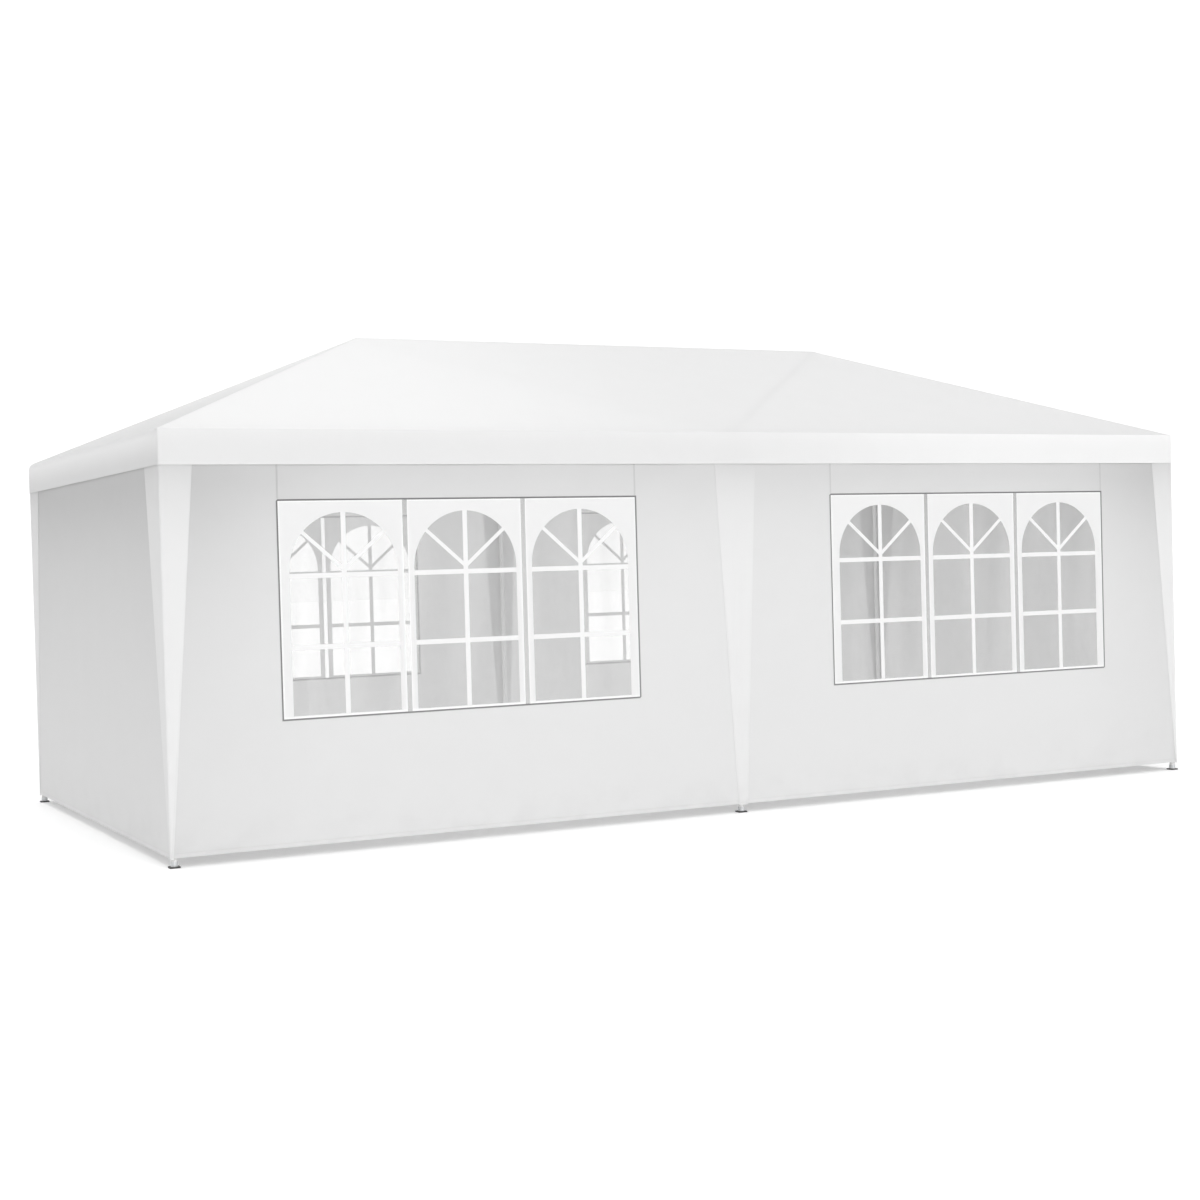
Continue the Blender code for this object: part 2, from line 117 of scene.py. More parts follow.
# %% [markdown]
# ## Shader arithmetic
#
# A finish is a tree of shader nodes, and most of its nodes do sums on masks and heights. They
# could be linked one by one, but a sum is easier to read as a sum. So one small class wraps a
# socket, and Python's own operators on it add the Math nodes. Every other node comes from one
# method, which takes the node's type, its settings and the values or links of its sockets.


# %% A class for sums on sockets and one for whole finishes
class Reading:
    """A socket of a finish that takes part in Python sums."""

    def __init__(self, finish, socket):
        self.finish = finish
        self.socket = socket

    def math(self, operation, *values):
        return self.finish.node("ShaderNodeMath", {"operation": operation}, dict(enumerate(values)))

    def __add__(self, other):
        return self.math("ADD", self, other)

    def __sub__(self, other):
        return self.math("SUBTRACT", self, other)

    def __rsub__(self, other):
        return self.math("SUBTRACT", other, self)

    def __mul__(self, other):
        return self.math("MULTIPLY", self, other)

    def __truediv__(self, other):
        return self.math("DIVIDE", self, other)

    def __abs__(self):
        return self.math("ABSOLUTE", self)

    __radd__ = __add__
    __rmul__ = __mul__

    def sine(self):
        return self.math("SINE", self)

    def least(self, other):
        return self.math("MINIMUM", self, other)

    def rising(self, low, high):
        """Goes smoothly from 0 at low to 1 at high."""
        settings = {"interpolation_type": "SMOOTHSTEP"}
        return self.finish.node("ShaderNodeMapRange", settings, {0: self, 1: low, 2: high})

    def line(self, half, soft):
        """1 where the reading is within half of 0, fading out over soft."""
        return 1 - abs(self).rising(half, half + soft)

    def share(self, period):
        """How far the reading is through its current period, from 0 to 1."""
        return self.math("FRACT", self / period)


class Finish:
    """A material whose nodes are added one by one, with one Principled shader."""

    def __init__(self, name):
        self.material = bpy.data.materials.new(name)
        self.material.use_nodes = True
        self.tree = self.material.node_tree
        self.shader = self.tree.nodes["Principled BSDF"]
        self.output = self.tree.nodes["Material Output"]

    def node(self, kind, settings=None, sockets=None, out=0):
        """Adds a node, sets it, then fills its sockets with numbers, colours or readings."""
        made = self.tree.nodes.new(kind)
        for key, value in (settings or {}).items():
            setattr(made, key, value)
        self.fill(made, sockets or {})
        return Reading(self, made.outputs[out])

    def fill(self, node, sockets):
        for key, value in sockets.items():
            if isinstance(value, Reading):
                self.tree.links.new(value.socket, node.inputs[key])
            else:
                node.inputs[key].default_value = value

    def surface(self, **values):
        """Sets the Principled shader's sockets, named with _ for each space."""
        self.fill(self.shader, {key.replace("_", " "): value for key, value in values.items()})

    def attribute(self, name):
        return self.node("ShaderNodeAttribute", {"attribute_name": name}, out="Fac")

    def place(self):
        return self.node("ShaderNodeTexCoord", out="Object")

    def cloth_map(self):
        return self.node("ShaderNodeUVMap", {"uv_map": "cloth"})

    def parts(self, vector):
        """The three parts of a vector as readings."""
        split = self.node("ShaderNodeSeparateXYZ", sockets={0: vector})
        return [Reading(self, socket) for socket in split.socket.node.outputs]

    def noise(self, vector, scale, detail=2.0, rough=0.5):
        sockets = {"Vector": vector, "Scale": scale, "Detail": detail, "Roughness": rough}
        return self.node("ShaderNodeTexNoise", sockets=sockets)

    def tint(self, mask, plain, marked):
        """The plain colour where the mask is 0 and the marked one where it is 1."""
        return self.node("ShaderNodeMix", {"data_type": "RGBA"}, {0: mask, 6: plain, 7: marked}, out=2)

    def relief(self, height):
        """A normal from a height in metres."""
        return self.node("ShaderNodeBump", sockets={"Strength": 1.0, "Distance": 1.0, "Height": height})

    def let_light_through(self, part, colour, normal):
        """Mixes in a Translucent shader, which passes on this part of the light."""
        glow = self.node("ShaderNodeBsdfTranslucent", sockets={"Color": colour, "Normal": normal})
        body = Reading(self, self.shader.outputs[0])
        mixed = self.node("ShaderNodeMixShader", sockets={0: part, 1: body, 2: glow})
        self.tree.links.new(mixed.socket, self.output.inputs["Surface"])


def grey(value):
    return (value, value, value, 1.0)


print("shader helpers are ready")

# %% [markdown]
# ## Woven cloth
#
# The cover, the walls and the drapes are woven from flat plastic tapes two millimetres wide
# and coated on both faces. Close by, the tapes make a small basket pattern. From further off
# the cloth is a smooth satin white with very soft dents. Sewn lines show as a fine shadow
# with a thread in it. The sheet is thin enough to glow when light is behind it, and only a
# Translucent shader gives that, so it is mixed in.
#
# The weave follows the cloth's own map, which is in metres. A few numbers are stored on the
# mesh: how far the nearest sewn line is, how far along that line a point lies, how close the
# edge of a window is, where a band of painted shadow lies, and how much painted shade dims
# the cloth.

# %% The finish of the woven cloth
TAPE = 0.002
STITCH = 0.006
THREAD_HALF = 0.0004
HEM_LINE_HALF = 0.0010
FOLDED_HEM = 0.016
SOIL_HEIGHTS = (0.04, 0.30)
# How dark the painted shadow round a window's opening is.
EDGE_SHADOW_DARKNESS = 0.62


def woven_finish(name, white, through, seam_shadow, seam_half):
    """White woven cloth. Through is the share of light that goes through it, seam shadow is
    how much painted shadow darkens a sewn line, and seam half is half the width of its pressed
    fold, in metres."""
    finish = Finish(name)
    where = finish.cloth_map()
    u, v, _ = finish.parts(where)
    _, _, z = finish.parts(finish.place())
    weave = (u * (math.pi / TAPE)).sine() * (v * (math.pi / TAPE)).sine()
    dents = finish.noise(where, 2.6, 2.0, 0.45)
    crumple = finish.noise(where, 23.0, 3.0, 0.55)
    cloudy = finish.noise(where, 5.0, 4.0, 0.6)

    to_seam = finish.attribute("to_seam")
    to_hem = finish.attribute("to_hem")
    in_stitch = (finish.attribute("seam_run").share(STITCH) - 0.5).line(0.32, 0.06)
    groove = to_seam.line(seam_half, seam_half)
    hem_line = to_hem.line(HEM_LINE_HALF, HEM_LINE_HALF)
    thread = to_seam.least(to_hem).line(THREAD_HALF, THREAD_HALF) * in_stitch
    fold_back = 1 - to_hem.rising(0.0, FOLDED_HEM)

    soil = (1 - z.rising(*SOIL_HEIGHTS)) * cloudy.rising(0.40, 0.75)
    # A band of painted shadow runs round a window's opening, where the wall meets the clear sheet.
    edge_shadow = finish.attribute("window_edge").rising(0.25, 0.60)
    # Painted shade: the stored shade, and painted shadow along the sewn lines and the stitched hem
    # line.
    dim = finish.attribute("shade") + groove * seam_shadow + hem_line * 0.03
    dim = dim + edge_shadow * EDGE_SHADOW_DARKNESS + soil * 0.03 + (cloudy - 0.5) * 0.02
    colour = finish.tint(dim, grey(white), grey(0.0))
    height = weave * 0.00002 + dents * 0.0016 + crumple * 0.00025
    height = height - groove * 0.0002 + thread * 0.0004 + fold_back * 0.00008
    normal = finish.relief(height)
    rough = 0.50 + cloudy * 0.14 + weave * 0.04
    finish.surface(Base_Color=colour, Roughness=rough, Normal=normal)
    finish.surface(Specular_IOR_Level=0.35, Sheen_Weight=0.08, Sheen_Roughness=0.5)
    finish.let_light_through(through, colour, normal)
    return finish.material


cover_cloth = woven_finish("cover_cloth", 0.96, 0.36, 0.04, 0.0012)
wall_cloth = woven_finish("wall_cloth", 0.88, 0.44, 0.10, 0.0030)
print("woven finishes:", cover_cloth.name, wall_cloth.name)

# %% [markdown]
# ## Clear sheet and its print
#
# Each window is a sheet of clear plastic, and the arched lights are printed on it in white.
# The sheet is not glass: it hangs in long soft ripples, it has a faint haze and it picks up a
# dull shine. Along the ripples it is a little less clear, which is a painted reflection. A
# see-through shader with a low Alpha shows that without the noise of bent rays.
# The print is thicker than ordinary ink and dries a little grainy, so it gets a finish of
# its own.

# %% The finishes of the windows
FILM_WHITE = 0.84
FILM_COVER = 0.12
INK_WHITE = 0.93


def clear_finish():
    finish = Finish("clear_window_sheet")
    where = finish.cloth_map()
    drawn = finish.node("ShaderNodeMapping", sockets={0: where, "Scale": (7.0, 0.8, 1.0)})
    ripple = finish.noise(drawn, 1.0, 1.0, 0.4)
    haze = finish.noise(where, 14.0, 3.0, 0.55)
    colour = finish.tint(haze, grey(FILM_WHITE - 0.02), grey(FILM_WHITE + 0.02))
    normal = finish.relief(ripple * 0.004 + haze * 0.0002)
    # Along the ripples the sheet is made a little less clear: a painted reflection in soft upright
    # bands.
    cover = FILM_COVER + haze * 0.05 + ripple.rising(0.35, 0.75) * 0.07
    finish.surface(Base_Color=colour, Alpha=cover, Roughness=0.10 + haze * 0.12, Normal=normal)
    finish.surface(IOR=1.53, Specular_IOR_Level=0.6)
    return finish.material


def print_finish():
    finish = Finish("white_window_print")
    where = finish.cloth_map()
    grain = finish.noise(where, 900.0, 2.0, 0.6)
    uneven = finish.noise(where, 9.0, 3.0, 0.5)
    thick_ink = finish.attribute("thick_ink").rising(0.15, 0.45) - uneven * 0.04
    colour = finish.tint(thick_ink, grey(INK_WHITE), grey(INK_WHITE + 0.02))
    normal = finish.relief(grain * 0.00003 + finish.noise(where, 5.0, 1.0, 0.4) * 0.004)
    finish.surface(Base_Color=colour, Roughness=0.36 + grain * 0.16, Normal=normal)
    finish.surface(Specular_IOR_Level=0.45)
    finish.let_light_through(0.40 - thick_ink * 0.25, colour, normal)
    return finish.material


clear_film = clear_finish()
white_print = print_finish()
print("window finishes:", clear_film.name, white_print.name)

# %% [markdown]
# ## Frame finishes
#
# The tubes are steel with a baked white powder coat, which has a very fine orange peel and
# is rubbed grey where the legs slide into each other and near the ground. A foot is a zinc
# plated socket on a plate that is dipped in black paint. Zinc shows flat crystals of slightly
# different greys, and the paint is dusty in patches. The patterns are read from the object's
# own coordinates, so they need no map.

# %% The finishes of the steel
COLLAR_HEIGHT = 1.01
PLATE_TOP = 0.006
PAINT_EDGE = 0.0008
BARE_STEEL = (0.40, 0.39, 0.38, 1.0)
DARK_ZINC = (0.56, 0.57, 0.58, 1.0)
LIGHT_ZINC = (0.72, 0.73, 0.74, 1.0)
BLACK_PAINT = (0.030, 0.030, 0.032, 1.0)
DUSTY_PAINT = (0.10, 0.095, 0.09, 1.0)


def powder_coat_finish():
    finish = Finish("white_powder_coat")
    where = finish.place()
    _, _, z = finish.parts(where)
    peel = finish.noise(where, 420.0, 2.0, 0.5)
    blotch = finish.noise(where, 9.0, 4.0, 0.65)
    scratch = finish.noise(where, 160.0, 3.0, 0.7)
    near_ground = 1 - z.rising(0.03, 0.22)
    near_collar = (z - COLLAR_HEIGHT).line(0.004, 0.02)
    worn = (blotch * 0.5 + scratch * 0.5).rising(0.5, 0.64)
    rubbed = (near_ground * 0.6 + near_collar * 0.5) * worn
    coat = finish.tint(blotch.rising(0.3, 0.8), grey(0.84), grey(0.78))
    colour = finish.tint(rubbed, coat, BARE_STEEL)
    normal = finish.relief(peel * 0.00004 - rubbed * 0.0001)
    finish.surface(Base_Color=colour, Metallic=rubbed * 0.7, Normal=normal)
    finish.surface(Roughness=0.34 + blotch * 0.12 + rubbed * 0.15, Specular_IOR_Level=0.5)
    return finish.material


def foot_finish():
    finish = Finish("zinc_and_black_steel")
    where = finish.place()
    sockets = {"Vector": where, "Scale": 190.0, "Randomness": 1.0}
    crystal = finish.node("ShaderNodeTexVoronoi", sockets=sockets, out="Color")
    crystal_shade, _, _ = finish.parts(crystal)
    dull = finish.noise(where, 60.0, 4.0, 0.65)
    _, _, z = finish.parts(where)
    painted = 1 - z.rising(PLATE_TOP, PLATE_TOP + PAINT_EDGE)
    dust = dull.rising(0.42, 0.75) * painted
    plated = finish.tint(crystal_shade, DARK_ZINC, LIGHT_ZINC)
    paint = finish.tint(dust, BLACK_PAINT, DUSTY_PAINT)
    colour = finish.tint(painted, plated, paint)
    finish.surface(Base_Color=colour, Metallic=0.75 * (1 - painted))
    finish.surface(Roughness=0.34 + dull * 0.25 + painted * 0.1, Normal=finish.relief(dull * 0.0001))
    return finish.material


powder_coat = powder_coat_finish()
foot_steel = foot_finish()
print("steel finishes:", powder_coat.name, foot_steel.name)

# %% [markdown]
# ## Dressing the frame
#
# The tubes, joints, legs and foot plates have the right shape already. So they are kept, and
# each only gets its new finish in place of the plain one.

# %% Give the steel its finishes
STEEL_KINDS = ("corner_joint", "middle_joint", "peak_joint", "eave_tube", "hip_rafter",
               "middle_rafter", "ridge_tube", "leg_front", "leg_back")
dressed = {powder_coat.name: 0, foot_steel.name: 0}
for node_name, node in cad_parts.items():
    finish_for_node = foot_steel if node_name.startswith("foot_") else powder_coat
    if node_name.startswith(STEEL_KINDS) or finish_for_node is foot_steel:
        node.material_slots[0].material = finish_for_node
        dressed[finish_for_node.name] += 1
print("steel pieces dressed:", dressed)

# %% [markdown]
# ## From grids to meshes
#
# Every soft piece is a grid of points worked out as whole arrays. A patch holds such a grid,
# the place of each point on the flat cloth and the numbers that the finish reads. One helper
# turns patches into a mesh: it makes the faces by shifting an index grid, turns them to face
# away from the middle of the tent, and welds points that fall together, so that a ridge or
# a corner is closed. Solidify then gives the sheet its thickness, inwards from the outer face.


# %% Helpers for grids
FACES = {"front": 0, "right": 1, "back": 2, "left": 3}
LONG_FACES = ("front", "back")
TENT_MIDDLE = (0.0, 0.0, 1.0)
WELD_DECIMALS = 5
MAP_STRETCH = 10.0


def stations(marks, step):
    """Every mark in order, with even steps no longer than step between neighbours."""
    spans = [np.linspace(low, high, math.ceil((high - low) / step - 1e-6) + 1)[:-1]
             for low, high in zip(marks, marks[1:])]
    return np.concatenate([*spans, marks[-1:]])


def smooth(low, high, value):
    """Goes from 0 at low to 1 at high as 3 t squared minus 2 t cubed."""
    share = np.clip((value - low) / (high - low), 0.0, 1.0)
    return share * share * (3.0 - 2.0 * share)


def patch(points, flat, keep=None, **numbers):
    """One grid: points[row, column], its place on the flat cloth and numbers for the finish."""
    shape = points.shape[:2]
    index = np.arange(math.prod(shape)).reshape(shape)
    quads = np.stack((index[:-1, :-1], index[:-1, 1:], index[1:, 1:], index[1:, :-1]), -1)
    quads = quads.reshape(-1, 4) if keep is None else quads[keep]
    spots = points.reshape(-1, 3)
    a, b, c, d = (spots[quads[:, corner]] for corner in range(4))
    outwards = (a + c) / 2 - TENT_MIDDLE
    if (np.cross(c - a, d - b) * outwards).sum() < 0:
        quads = quads[:, ::-1]
    listed = {name: np.broadcast_to(value, shape).ravel() for name, value in numbers.items()}
    return {"spots": spots, "flat": flat.reshape(-1, 2), "quads": quads, "numbers": listed}


def mesh_from(name, patches):
    """Joins patches, welds points that lie within a hundredth of a millimetre and drops
    the corners that this makes double, so that a square that closed up becomes a triangle."""
    starts = np.cumsum([0] + [len(each["spots"]) for each in patches])
    spots = np.concatenate([each["spots"] for each in patches])
    flat = np.concatenate([each["flat"] for each in patches])
    quads = np.concatenate([each["quads"] + start for each, start in zip(patches, starts)])
    rounded_spots = np.round(spots, WELD_DECIMALS) + 0.0
    _, first, welded = np.unique(rounded_spots, axis=0, return_index=True, return_inverse=True)
    corners = welded.ravel()[quads]
    fresh = np.ones(corners.shape, bool)
    for turn in range(1, 4):
        fresh[:, turn] = (corners[:, turn, None] != corners[:, :turn]).all(1)
    used, loops = np.unique(corners[fresh], return_inverse=True)
    faces = np.split(loops.ravel(), np.cumsum(fresh.sum(1))[:-1])
    mesh = bpy.data.meshes.new(name)
    mesh.from_pydata(spots[first[used]], [], [face.tolist() for face in faces])
    cloth_map = mesh.uv_layers.new(name="cloth")
    cloth_map.data.foreach_set("uv", flat[quads[fresh]].astype(np.float32).ravel())
    for number in patches[0]["numbers"]:
        values = np.concatenate([each["numbers"][number] for each in patches])[first[used]]
        stored = mesh.attributes.new(number, "FLOAT", "POINT")
        stored.data.foreach_set("value", values.astype(np.float32))
    mesh.shade_smooth()
    return mesh


def make_sheet(name, patches, thickness, material, nodes):
    """Makes the sheet, gives it its thickness and lets it stand for its solids."""
    sheet = bpy.data.objects.new(name, mesh_from(name, patches))
    bpy.context.scene.collection.objects.link(sheet)
    sheet.data.materials.append(material)
    thicken = sheet.modifiers.new("cloth thickness", "SOLIDIFY")
    thicken.thickness = thickness
    thicken.offset = -1.0
    thicken.use_even_offset = True
    even = sheet.modifiers.new("even shading", "WEIGHTED_NORMAL")
    even.weight = 50
    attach(sheet, "root")
    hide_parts(*nodes)
    print(f"{name}: {len(sheet.data.polygons)} faces before its thickness")
    return sheet


def around_tent(quarters, along, out, height):
    """Points on one face of the tent: along it, out from the middle and up, turned round the
    middle by quarter turns. 0 is the front, 1 the right end, 2 the back and 3 the left end."""
    angle = quarters * math.pi / 2
    cosine, sine = round(math.cos(angle)), round(math.sin(angle))
    x, y = cosine * along + sine * out, sine * along - cosine * out
    return np.stack(np.broadcast_arrays(x, y, height), -1)


def on_map(face, along, up):
    """The place on the flat cloth, in metres. Each face has a stretch of the map to itself."""
    return np.stack((along + MAP_STRETCH * FACES[face], up), -1)


print("grid helpers are ready")

# %% [markdown]
# ## Roof cover
#
# The cover is one sheet: two long slopes, two end slopes and a valance that hangs all round.
# It could be four flat panels, but real cloth bends between its rafters. So it is drawn as
# rings that run round the whole roof. Each ring is a rectangle with rounded corners, and the
# rings grow from the ridge down to the eave, turn over it and drop down the valance. The
# long eaves are pulled crisp over their tubes. The end eaves turn over softly, and so does
# the cloth at the two back corners.
#
# The turn isn't an arc, because an arc that wide would cut through the tube inside it. It
# leaves the slope and the valance gently and is tighter in its middle, like a superellipse.
#
# Between the rafters the cloth sinks a little. The rafters divide each slope into triangles,
# and the product of a point's three weights in a triangle is a smooth dish that is zero along
# all its edges.
#
# The light on a big tent falls off more than a few lamps can show. So the cover is dimmed
# softly: its long slopes towards the right, their valances towards the left, its end slopes
# towards the eave, and the end valances towards their foot.

# %% Shape of the cover
SLOPE_ANGLE = math.atan2(RIDGE_HEIGHT - EAVE_HEIGHT, HALF_WIDTH)
LONG_EAVE_TURN = 0.006
END_EAVE_TURN = 0.058
TURN_POWER = 2.9
TURN_STEPS = 13
CORNER_BLEND = 0.14
HIP_RADIUS = 0.014
ROOF_SAG = 0.012
SAG_POWER = 1.3
VALANCE_WAVE = 0.0035
WAVE_HEAD = EAVE_HEIGHT - 0.05
HEM_STITCH = 0.018
HIP_STRETCH = 1.47
COVER_STEP = 0.042
VALANCE_STEP = 0.2
NEAR_CORNER = (0.0, 0.003, 0.007, 0.012, 0.018, 0.03, 0.06)
NEAR_RIDGE = (0.0, 0.004, 0.012, 0.03)
LONG_SLOPE_SHADE = 0.06
LONG_VALANCE_SHADE = 0.065
END_SLOPE_SHADE = 0.155
END_VALANCE_SHADE = 0.135


def make_bays():
    """The triangles between the rafters, seen from above: one per end, three per long side."""
    left_peak, right_peak = (-PEAK_X, 0.0), (PEAK_X, 0.0)
    ends = ((-HALF_LENGTH, left_peak), (HALF_LENGTH, right_peak))
    bays = [((x, -HALF_WIDTH), (x, HALF_WIDTH), peak) for x, peak in ends]
    for y in (-HALF_WIDTH, HALF_WIDTH):
        bays.append((left_peak, right_peak, (0.0, y)))
        bays += [((x, y), peak, (0.0, y)) for x, peak in ends]
    return bays


BAYS = make_bays()


def dish(x, y):
    """How far the cover sinks. In a triangle it is 27 times the product of a point's three
    weights, which is 1 in the middle, to a power that lets it leave the rafters gently."""
    deepest = np.zeros_like(x)
    for (ax, ay), (bx, by), (cx, cy) in BAYS:
        whole = (bx - ax) * (cy - ay) - (cx - ax) * (by - ay)
        first = ((bx - x) * (cy - y) - (cx - x) * (by - y)) / whole
        second = ((cx - x) * (ay - y) - (ax - x) * (cy - y)) / whole
        weights = np.clip(np.stack((first, second, 1.0 - first - second)), 0.0, 1.0)
        deepest = np.maximum(deepest, 27.0 * weights.prod(0))
    return ROOF_SAG * deepest ** SAG_POWER


def rounded(along, out, half_along, half_out, radius):
    """Moves the points of a rectangle's edge that are within radius of its corner onto an arc."""
    past = np.abs(along) - (half_along - radius)
    turned = np.arctan2(radius, np.maximum(past, 0.0))
    bent = past > 0.0
    new_along = np.where(bent, half_along - radius + radius * np.cos(turned), np.abs(along))
    new_out = np.where(bent, half_out - radius + radius * np.sin(turned), out)
    return np.sign(along) * new_along, new_out


def softness(face, along, half_eave):
    """0 where an eave is crisp and 1 where it is soft. It changes near the corners: on the end
    at a front corner and on the long side at a back corner."""
    if face == "front":
        return 0.0 * along
    if face == "back":
        return 1.0 - smooth(0.0, CORNER_BLEND, half_eave - np.abs(along))
    return smooth(0.0, CORNER_BLEND, half_eave + (along if face == "right" else -along))


def cover_profile(reach):
    """How far out and how high each row of rings is, down the slope, round the turn and down
    the valance. In the turn, a point is reach (1 - t)^p up the slope from the eave's line and
    reach t^p below it."""
    slope_rows = stations([*NEAR_RIDGE, 1.0], COVER_STEP / HALF_WIDTH)[:, None]
    turn_rows = np.linspace(0.0, 1.0, TURN_STEPS + 1)[1:-1, None]
    drop_rows = stations([0.0, 0.88, 1.0], VALANCE_STEP)[:, None]
    ring = slope_rows * (HALF_WIDTH - reach * math.cos(SLOPE_ANGLE))
    slope_z = RIDGE_HEIGHT - ring * math.tan(SLOPE_ANGLE)
    up_slope = reach * (1.0 - turn_rows) ** TURN_POWER
    turn_ring = HALF_WIDTH - up_slope * math.cos(SLOPE_ANGLE)
    turn_z = EAVE_HEIGHT + up_slope * math.sin(SLOPE_ANGLE) - reach * turn_rows ** TURN_POWER
    drop_z = (EAVE_HEIGHT - reach) * (1 - drop_rows) + VALANCE_FOOT * drop_rows
    grown = np.concatenate((ring, turn_ring, np.full_like(drop_z, HALF_WIDTH)))
    return grown, np.concatenate((slope_z, turn_z, drop_z))


def cover_shade(face, along, grown, z):
    """How much the cover is dimmed. On an end the slope's shade gives way to the valance's
    over the turn."""
    if face in LONG_FACES:
        slope_shade = LONG_SLOPE_SHADE * smooth(-1.9, 0.4, along)
        valance_shade = LONG_VALANCE_SHADE * (1.0 - smooth(-0.3, 1.8, along))
        return np.where(z > EAVE_HEIGHT, slope_shade, valance_shade)
    up_slope = smooth(0.10, 1.00, 1.0 - grown / HALF_WIDTH)
    slope_shade = END_SLOPE_SHADE * (1.0 - 0.7 * up_slope)
    valance_shade = END_VALANCE_SHADE * smooth(EAVE_HEIGHT - 0.02, VALANCE_FOOT, z)
    return valance_shade + slope_shade * smooth(EAVE_HEIGHT - 0.045, EAVE_HEIGHT + 0.020, z)


def cover_patch(face):
    """One side of the rings. Rows go down the profile and columns run along the side."""
    long_side = face in LONG_FACES
    half_eave = HALF_LENGTH if long_side else HALF_WIDTH
    left_marks = [-half_eave + gap for gap in NEAR_CORNER]
    right_marks = [half_eave - gap for gap in NEAR_CORNER[::-1]]
    share = (stations([*left_marks, 0.0, *right_marks], COVER_STEP) / half_eave)[None, :]
    soft = softness(face, share * half_eave, half_eave)
    grown, z = cover_profile(LONG_EAVE_TURN + (END_EAVE_TURN - LONG_EAVE_TURN) * soft)

    half_along, half_out = (PEAK_X + grown, grown) if long_side else (grown, PEAK_X + grown)
    along, out = rounded(share * half_along, half_out, half_along, half_out,
                         np.minimum(HIP_RADIUS, grown * 0.5))
    below = np.clip((WAVE_HEAD - z) / (WAVE_HEAD - VALANCE_FOOT), 0.0, 1.0)
    wave = 0.5 + 0.5 * np.sin(along * 7.3 + 1.1 * FACES[face] + 0.7 * np.sin(along * 2.9))
    from_corner = half_eave * (1.0 - np.abs(share))
    out = out + VALANCE_WAVE * below * wave * smooth(0.0, 0.25, from_corner)
    points = around_tent(FACES[face], along, out, z)
    points[..., 2] -= dish(points[..., 0], points[..., 1]) * (z > EAVE_HEIGHT)

    down = np.hypot(grown - HALF_WIDTH, z - EAVE_HEIGHT)
    flat = on_map(face, along, np.where(z > EAVE_HEIGHT, down, -down))
    to_hip = (half_along - np.abs(share * half_along)) / math.sqrt(2)
    to_hem = np.abs(z - VALANCE_FOOT - HEM_STITCH)
    seam_run = np.where(to_hip < to_hem, grown * HIP_STRETCH, along)
    return patch(points, flat, to_seam=to_hip, to_hem=to_hem, seam_run=seam_run,
                 shade=cover_shade(face, along, grown, z))


cover = make_sheet("roof_cover_cloth", [cover_patch(face) for face in FACES], CLOTH_THICKNESS,
                   cover_cloth, ["roof_cover"])

# %% [markdown]
# ## Walls
#
# Six sheets hang from the eave tubes, between the legs. A hanging sheet is never quite flat:
# it is held straight at the eave and at the legs, and moves in slow waves below that. The
# waves are a few sines of the way along, which fade out towards whatever holds the sheet. A
# simulation would give folds of the same size, but this way the clear sheets and their print
# can follow the very same waves.
#
# The long sheets have a window each. Two seams run down from the eave to the window's top
# corners. The clear sheet is welded in behind the opening, which needs no thread, and a narrow
# band of painted shadow darkens the wall along the opening's edge.

# %% Shape of the walls
WALL_HEAD = 1.93
WALL_EDGE = 0.010
WALL_START = 0.0005
WALL_HEM_STITCH = 0.020
WALL_STEP = 0.026
LEG_INSET = 0.026
WALL_BOW = 0.004
WIDE_WAVE = 0.0016
NARROW_WAVE = 0.0010
WINDOW_MIDDLE = 1.52
WINDOW_HALF = 0.93
WINDOW_BOTTOM = 0.635
WINDOW_TOP = 1.64
WINDOW_EDGE = 0.013
WELD_WIDTH = 0.012
OVERHANG_SHADE = 0.145
CORNER_SHADE = 0.11
END_SHADE = 0.04


def billow(face, along, height):
    """How far a wall stands out: a slow inward bow and two sines of the way along, all of
    which are zero at the legs and at the eave, and grow downwards."""
    if face in LONG_FACES:
        held = np.sin(math.pi * along / (HALF_LENGTH - LEG_INSET))
    else:
        held = np.cos(math.pi * along / (HALF_WIDTH - LEG_INSET) / 2)
    loose = held ** 2 * smooth(0.0, 0.55, WALL_HEAD - height)
    around = 1.3 * FACES[face]
    bow = -WALL_BOW * np.sin(math.pi * (WALL_HEAD - height) / 1.9)
    wide = WIDE_WAVE * np.sin(along * 10.1 + around + 0.5 * np.sin(height * 2.1))
    narrow = NARROW_WAVE * np.sin(along * 17.3 - 1.7 * around - 0.8 * height)
    return loose * (bow + (wide + narrow) * (1.0 - 0.5 * height / WALL_HEAD))


def under_valance_shade(face, along, height):
    """How much less light reaches a wall: most under the valance, dying away downwards as
    the exponential of the drop, and more so near the ends of the tent. A second, shorter one
    is taken off, because the lights themselves already darken the line under the valance. An
    end wall is also a little darker higher up."""
    long_side = face in LONG_FACES
    from_end = HALF_LENGTH - np.abs(along) if long_side else 0.0 * along
    corner = np.exp(-((from_end / 0.55) ** 2))
    drop = np.maximum(VALANCE_FOOT - height, 0.0)
    fading = np.exp(-drop / (0.20 + 0.14 * corner)) - 0.35 * np.exp(-drop / 0.05)
    overhang = (OVERHANG_SHADE + CORNER_SHADE * corner) * fading
    return overhang + (0.035 * corner if long_side else END_SHADE * smooth(-0.2, 1.2, height))


def to_window(along, height):
    """How far a point is outside the window's rectangle."""
    aside = np.maximum(np.abs(np.abs(along) - WINDOW_MIDDLE) - WINDOW_HALF, 0.0)
    over = np.maximum(np.maximum(WINDOW_BOTTOM - height, height - WINDOW_TOP), 0.0)
    return np.hypot(aside, over)


def wall_grid(columns, rows):
    """The way along and the height of every point of a grid through these marks."""
    return np.meshgrid(stations(columns, WALL_STEP), stations(rows, WALL_STEP))


